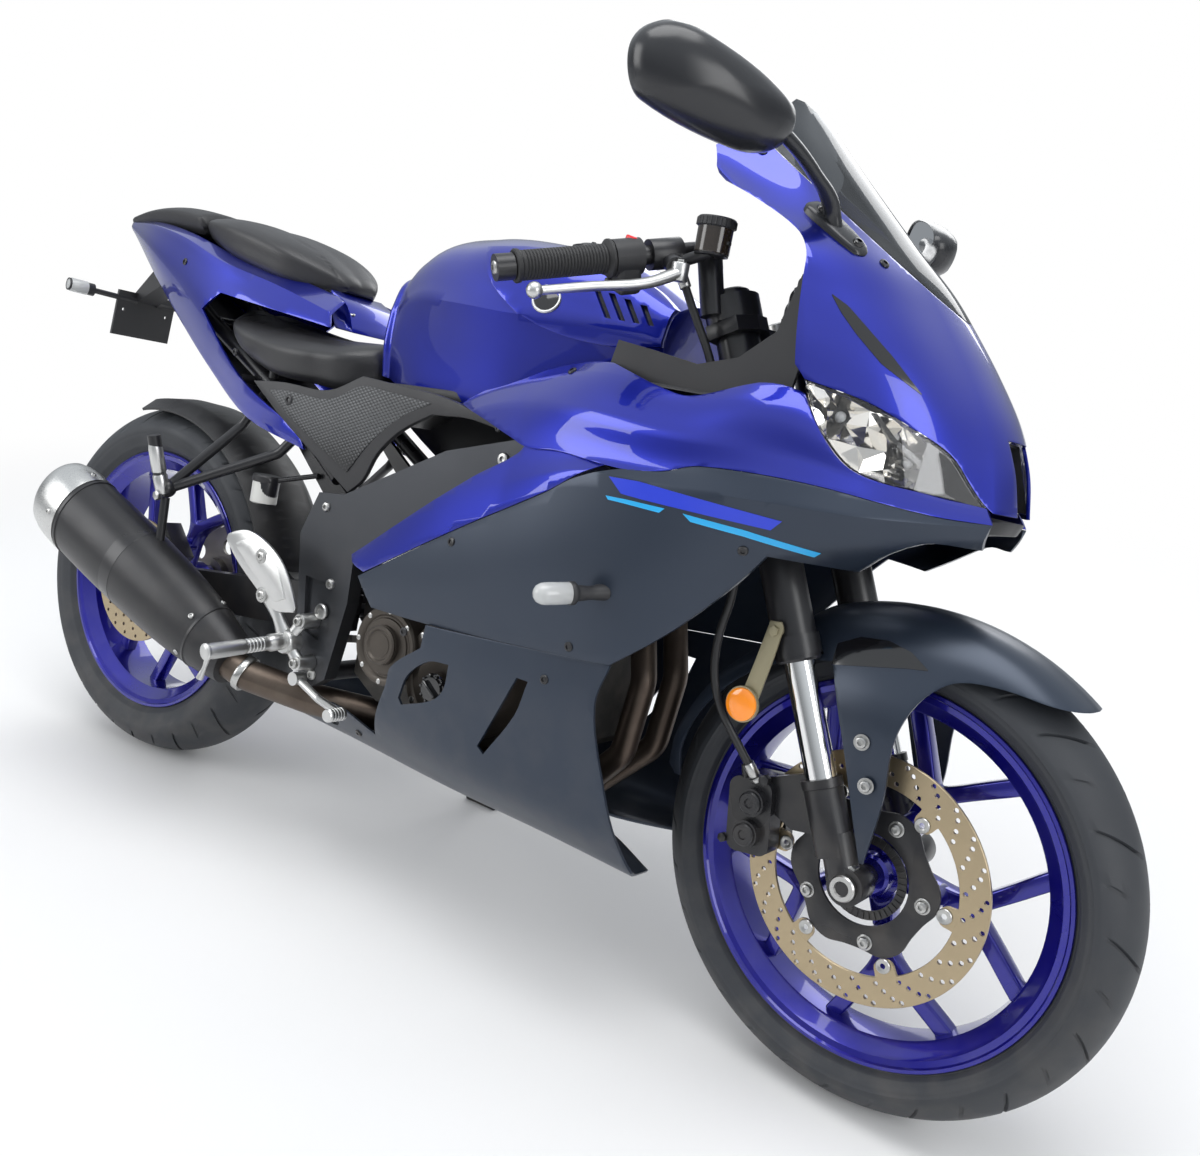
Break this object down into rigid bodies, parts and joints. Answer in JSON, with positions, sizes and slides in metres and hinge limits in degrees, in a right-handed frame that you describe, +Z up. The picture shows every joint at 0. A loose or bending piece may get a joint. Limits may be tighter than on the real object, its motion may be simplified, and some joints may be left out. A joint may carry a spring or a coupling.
{
  "type": "sport bike",
  "caption": "Fully faired sport motorcycle leaning on its side stand, with steerable fork, turning wheels, folding stand and hinged filler cap.",
  "frame": {"origin": "on the ground, under the centre of the bounding box of the parked bike", "axes": "+X forward, +Y to the rider's left, +Z up; the bike leans to +Y on its side stand"},
  "size_m": [1.9863, 0.8843, 1.1882],
  "materials": {
    "alloy": "satin",
    "arm_black": "satin black",
    "blue_gloss": "deep metallic cobalt blue under gloss clear coat",
    "cap_black": "black",
    "cap_steel": "brushed",
    "chain_steel": "oiled",
    "chrome": "hard chrome",
    "cover_bronze": "bronze-dark satin paint",
    "disc_steel": "ground",
    "engine_grey": "dark cast, satin",
    "frame_silver": "dark silver satin paint",
    "grip_rubber": "ribbed",
    "header_steel": "heat-browned stainless",
    "hose_rubber": "smooth",
    "indicator_clear": "clear lens on a black stalk",
    "lamp_chrome": "reflector",
    "lamp_red": "red lens",
    "lens_clear": "clear",
    "mirror_black": "satin black shell",
    "panel_grey": "satin dark blue-grey",
    "radiator_black": "matt black",
    "reflector_orange": "orange reflector",
    "rim_blue": "dark metallic blue",
    "screen_smoke": "smoked, glossy",
    "seat_black": "grained",
    "shock_black": "satin",
    "silencer_black": "satin black",
    "texture_black": "carbon-like relief",
    "trim_black": "fine-grained black",
    "tube_black": "satin black paint",
    "tyre_black": "road tyre"
  },
  "bodies": {
    "chassis": {"main_frame": "frame_silver", "subframe": "tube_black", "engine": "engine_grey", "engine_covers": "cover_bronze", "radiator": "radiator_black", "exhaust_pipes": "header_steel", "silencer": "silencer_black", "silencer_cap": "cap_steel", "swingarm": "arm_black", "rear_shock": "shock_black", "chain": "chain_steel", "hugger": "trim_black", "fuel_tank": "blue_gloss", "tank_covers": "blue_gloss", "rider_seat": "seat_black", "pillion_seat": "seat_black", "tail_panels": "blue_gloss", "tail_top": "trim_black", "undertail": "trim_black", "tail_lamp": "lamp_red", "side_covers": "texture_black", "nose_cowl": "blue_gloss", "windscreen": "screen_smoke", "headlamps": "lens_clear", "lamp_units": "lamp_chrome", "upper_fairings": "blue_gloss", "side_fairings": "panel_grey", "belly_fairings": "panel_grey", "cockpit": "trim_black", "mirrors": "mirror_black", "front_indicators": "indicator_clear", "rider_footrests": "alloy", "pillion_footrests": "tube_black", "foot_levers": "alloy", "rear_brake": "tube_black"},
    "steering": {"yokes": "tube_black", "fork_tubes": "tube_black", "stanchions": "chrome", "fork_feet": "tube_black", "front_mudguard": "panel_grey", "front_caliper": "tube_black", "handlebars": "tube_black", "grips": "grip_rubber", "switchgear": "trim_black", "hand_levers": "alloy", "brake_master": "trim_black", "brake_hose": "hose_rubber", "front_reflectors": "reflector_orange"},
    "front_wheel": {"front_rim": "rim_blue", "front_tyre": "tyre_black", "front_disc": "disc_steel"},
    "rear_wheel": {"rear_rim": "rim_blue", "rear_tyre": "tyre_black", "rear_disc": "disc_steel", "rear_sprocket": "chain_steel"},
    "side_stand": {"side_stand": "tube_black"},
    "filler_cap": {"fuel_cap": "cap_black"}
  },
  "joints": [
    {"name": "steering", "type": "hinge", "parent": "chassis", "child": "steering", "pos_m": [0.45491, -0.03879, 0.71739], "axis": [-0.4229, 0.1807, 0.888], "range_deg": [-29, 37]},
    {"name": "front_wheel_spin", "type": "hinge", "parent": "steering", "child": "front_wheel", "pos_m": [0.70069, -0.12854, 0.28963], "axis": [0.0633, 0.9834, -0.17], "continuous": true},
    {"name": "rear_wheel_spin", "type": "hinge", "parent": "chassis", "child": "rear_wheel", "pos_m": [-0.67923, -0.12175, 0.30932], "axis": [0.0001, 0.9799, -0.1994], "continuous": true},
    {"name": "side_stand_fold", "type": "hinge", "parent": "chassis", "child": "side_stand", "pos_m": [-0.12921, -0.02236, 0.2362], "axis": [0.3841, 0.8195, 0.4252], "range_deg": [0, 105]},
    {"name": "filler_cap", "type": "hinge", "parent": "chassis", "child": "filler_cap", "pos_m": [0.17458, 0.01113, 0.96269], "axis": [0.0001, 0.9799, -0.1994], "range_deg": [0, 90]}
  ]
}
